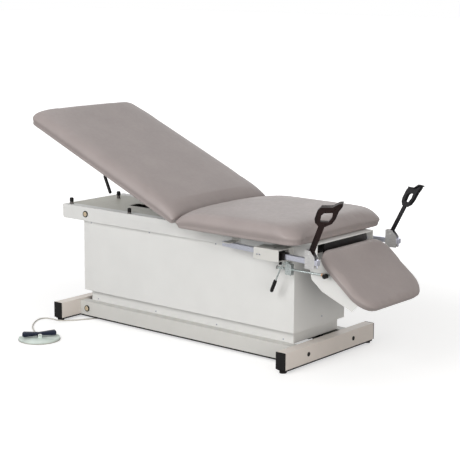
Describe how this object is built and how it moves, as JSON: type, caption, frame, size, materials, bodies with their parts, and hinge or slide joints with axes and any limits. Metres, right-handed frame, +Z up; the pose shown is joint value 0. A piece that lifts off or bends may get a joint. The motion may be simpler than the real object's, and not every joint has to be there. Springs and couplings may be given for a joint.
{
  "type": "power examination table",
  "caption": "Height-adjustable exam table with scissor lift, gas spring back, drop-down leg rest, heel stirrups and a corded foot control.",
  "frame": {"origin": "centre of the base footprint on the floor", "axes": "+X towards the foot end, +Z up"},
  "size_m": [1.8724, 1.0714, 1.0242],
  "materials": {
    "base_paint": "satin powder coat",
    "white_paint": "satin powder coat",
    "cream_paint": "satin powder coat",
    "black_plastic": "moulded",
    "black_paint": "satin powder coat",
    "plated_steel": "zinc plated",
    "zinc_clamp": "zinc plated",
    "vinyl": "soft grained vinyl",
    "plywood": "plain",
    "navy_plastic": "moulded",
    "mint_plastic": "moulded",
    "cord_jacket": "smooth"
  },
  "bodies": {
    "base": {"base_cross_tubes": "base_paint", "base_side_rails": "base_paint", "base_cross_members": "base_paint", "tube_end_caps": "black_plastic", "tube_hole_plugs": "black_plastic", "levelling_feet": "black_plastic", "base_pivot_bolts": "plated_steel", "lower_shroud": "white_paint", "lower_shroud_screws": "plated_steel", "control_box": "black_plastic", "foot_switch_base": "mint_plastic", "foot_switch_cord": "cord_jacket", "strain_relief": "black_plastic", "actuator_pins": "plated_steel"},
    "foot_rocker": {"foot_switch_rocker": "navy_plastic"},
    "lift_arm": {"lift_arms": "white_paint", "lift_cross_tube": "white_paint", "lift_arm_bolts": "plated_steel"},
    "top_roller_pair": {"top_rollers": "plated_steel"},
    "cross_arm": {"cross_arms": "white_paint", "cross_arm_tube": "white_paint"},
    "base_roller_pair": {"base_rollers": "plated_steel"},
    "actuator_body": {"actuator_cylinder": "plated_steel", "actuator_motor": "black_plastic"},
    "actuator_ram": {"actuator_rod": "plated_steel"},
    "top_frame": {"top_side_channels": "white_paint", "top_panel": "cream_paint", "frame_end_channels": "white_paint", "upper_shroud": "white_paint", "upper_shroud_screws": "plated_steel", "bumpers": "black_plastic", "frame_pivot_bolts": "plated_steel", "seat_board": "plywood", "seat_cushion": "vinyl", "back_hinge_brackets": "plated_steel", "stirrup_housings": "cream_paint", "leg_pivot_bolts": "plated_steel"},
    "back": {"back_board": "plywood", "back_rails": "plated_steel", "back_cushion": "vinyl"},
    "gas_cylinder": {"gas_spring_cylinder": "black_paint"},
    "gas_rod": {"gas_spring_rod": "plated_steel"},
    "release_lever": {"release_lever": "black_plastic"},
    "leg_rest": {"leg_side_plates": "white_paint", "leg_board": "plywood", "leg_cushion": "vinyl", "rod_knob": "black_plastic"},
    "support_rod": {"support_rod": "zinc_clamp"},
    "rod_clamp": {"rod_clamp": "zinc_clamp"},
    "clamp_lever": {"clamp_lever": "plated_steel"},
    "stirrup_guide_left": {"stirrup_guide_left": "black_plastic"},
    "stirrup_bar_left": {"stirrup_bar_left": "plated_steel", "stirrup_bracket_left": "plated_steel"},
    "heel_loop_left": {"heel_loop_left": "black_paint"},
    "stirrup_plunger_left": {"stirrup_plunger_left": "black_plastic"},
    "stirrup_guide_right": {"stirrup_guide_right": "black_plastic"},
    "stirrup_bar_right": {"stirrup_bar_right": "plated_steel", "stirrup_bracket_right": "plated_steel"},
    "heel_loop_right": {"heel_loop_right": "black_paint"},
    "stirrup_plunger_right": {"stirrup_plunger_right": "black_plastic"}
  },
  "joints": [
    {"name": "table_lift", "type": "hinge", "parent": "base", "child": "lift_arm", "pos_m": [-0.607, 0, 0.05], "axis": [0, -1, 0], "range_deg": [-1.29, 15.62]},
    {"name": "scissor_cross", "type": "hinge", "parent": "lift_arm", "child": "cross_arm", "pos_m": [-0.05472, 0, 0.2845], "axis": [0, -1, 0], "range_deg": [-31.25, 2.6]},
    {"name": "frame_level", "type": "hinge", "parent": "cross_arm", "child": "top_frame", "pos_m": [-0.607, 0, 0.519], "axis": [0, -1, 0], "range_deg": [-1.3, 15.62]},
    {"name": "actuator_tilt", "type": "hinge", "parent": "base", "child": "actuator_body", "pos_m": [0.193, 0, 0.05], "axis": [0, -1, 0], "range_deg": [-0.66, 7.82]},
    {"name": "actuator_ram_pivot", "type": "hinge", "parent": "lift_arm", "child": "actuator_ram", "pos_m": [0.10576, 0, 0.41327], "axis": [0, -1, 0], "range_deg": [-7.82, 0.66]},
    {"name": "top_roller_spin", "type": "hinge", "parent": "lift_arm", "child": "top_roller_pair", "pos_m": [0.49755, 0, 0.519], "axis": [0, -1, 0], "continuous": true},
    {"name": "base_roller_spin", "type": "hinge", "parent": "cross_arm", "child": "base_roller_pair", "pos_m": [0.49755, 0, 0.05], "axis": [0, -1, 0], "continuous": true},
    {"name": "foot_rocker_tilt", "type": "hinge", "parent": "base", "child": "foot_rocker", "pos_m": [-0.496, -0.629, 0.024], "axis": [0.829, -0.5592, 0], "range_deg": [-3, 3], "stiffness_Nm_per_rad": 6},
    {"name": "back_recline", "type": "hinge", "parent": "top_frame", "child": "back", "pos_m": [0.062, 0, 0.575], "axis": [0, 1, 0], "range_deg": [-21.3, 42]},
    {"name": "gas_spring_tilt", "type": "hinge", "parent": "top_frame", "child": "gas_cylinder", "pos_m": [-0.02, 0, 0.5], "axis": [0, 1, 0], "range_deg": [-20.98, 41.35]},
    {"name": "gas_spring_stroke", "type": "slide", "parent": "gas_cylinder", "child": "gas_rod", "axis": [-0.7684, 0, 0.6399], "range_m": [-0.0394, 0.0776]},
    {"name": "release_lever_squeeze", "type": "hinge", "parent": "back", "child": "release_lever", "pos_m": [-0.43125, -0.27, 0.76165], "axis": [0, -1, 0], "range_deg": [0, 12], "stiffness_Nm_per_rad": 1.5, "springref_deg": -11.46},
    {"name": "leg_rest_tilt", "type": "hinge", "parent": "top_frame", "child": "leg_rest", "pos_m": [0.7375, 0, 0.518], "axis": [0, -1, 0], "range_deg": [-50, 40]},
    {"name": "clamp_swivel", "type": "hinge", "parent": "top_frame", "child": "rod_clamp", "pos_m": [0.64, -0.226, 0.429], "axis": [0, -1, 0], "range_deg": [-25.02, 20.02]},
    {"name": "rod_pivot", "type": "hinge", "parent": "leg_rest", "child": "support_rod", "pos_m": [0.835, -0.226, 0.429], "axis": [0, -1, 0], "range_deg": [-20.02, 25.02]},
    {"name": "clamp_lever_turn", "type": "hinge", "parent": "rod_clamp", "child": "clamp_lever", "pos_m": [0.64, -0.243, 0.46], "axis": [0, 1, 0], "range_deg": [-30, 8]},
    {"name": "stirrup_swivel_left", "type": "hinge", "parent": "top_frame", "child": "stirrup_guide_left", "pos_m": [0.6, 0.279, 0.498], "axis": [0, 0, 1], "range_deg": [-7, 3]},
    {"name": "stirrup_slide_left", "type": "slide", "parent": "stirrup_guide_left", "child": "stirrup_bar_left", "axis": [0.9925, 0.1219, 0], "range_m": [-0.04, 0.15]},
    {"name": "heel_loop_fold_left", "type": "hinge", "parent": "stirrup_bar_left", "child": "heel_loop_left", "pos_m": [0.80298, 0.30392, 0.528], "axis": [-0.1219, 0.9925, 0], "range_deg": [-25, 60]},
    {"name": "plunger_pull_left", "type": "slide", "parent": "top_frame", "child": "stirrup_plunger_left", "axis": [0, 0, -1], "range_m": [0, 0.004], "stiffness_N_per_m": 800, "springref_m": -0.003},
    {"name": "stirrup_swivel_right", "type": "hinge", "parent": "top_frame", "child": "stirrup_guide_right", "pos_m": [0.6, -0.279, 0.498], "axis": [0, 0, -1], "range_deg": [-7, 3]},
    {"name": "stirrup_slide_right", "type": "slide", "parent": "stirrup_guide_right", "child": "stirrup_bar_right", "axis": [0.9925, -0.1219, 0], "range_m": [-0.04, 0.15]},
    {"name": "heel_loop_fold_right", "type": "hinge", "parent": "stirrup_bar_right", "child": "heel_loop_right", "pos_m": [0.80298, -0.30392, 0.528], "axis": [0.1219, 0.9925, 0], "range_deg": [-25, 60]},
    {"name": "plunger_pull_right", "type": "slide", "parent": "top_frame", "child": "stirrup_plunger_right", "axis": [0, 0, -1], "range_m": [0, 0.004], "stiffness_N_per_m": 800, "springref_m": -0.003}
  ],
  "couplings": [
    {"joint": "scissor_cross", "follows": "table_lift", "ratio": -2},
    {"joint": "frame_level", "follows": "table_lift", "ratio": 1},
    {"joint": "actuator_tilt", "follows": "table_lift", "ratio": 0.5},
    {"joint": "actuator_ram_pivot", "follows": "table_lift", "ratio": -0.5},
    {"joint": "gas_spring_tilt", "follows": "back_recline", "ratio": 0.984},
    {"joint": "gas_spring_stroke", "follows": "back_recline", "m_per_rad": 0.1056},
    {"joint": "clamp_swivel", "follows": "leg_rest_tilt", "ratio": 0.5},
    {"joint": "rod_pivot", "follows": "leg_rest_tilt", "ratio": -0.5}
  ]
}
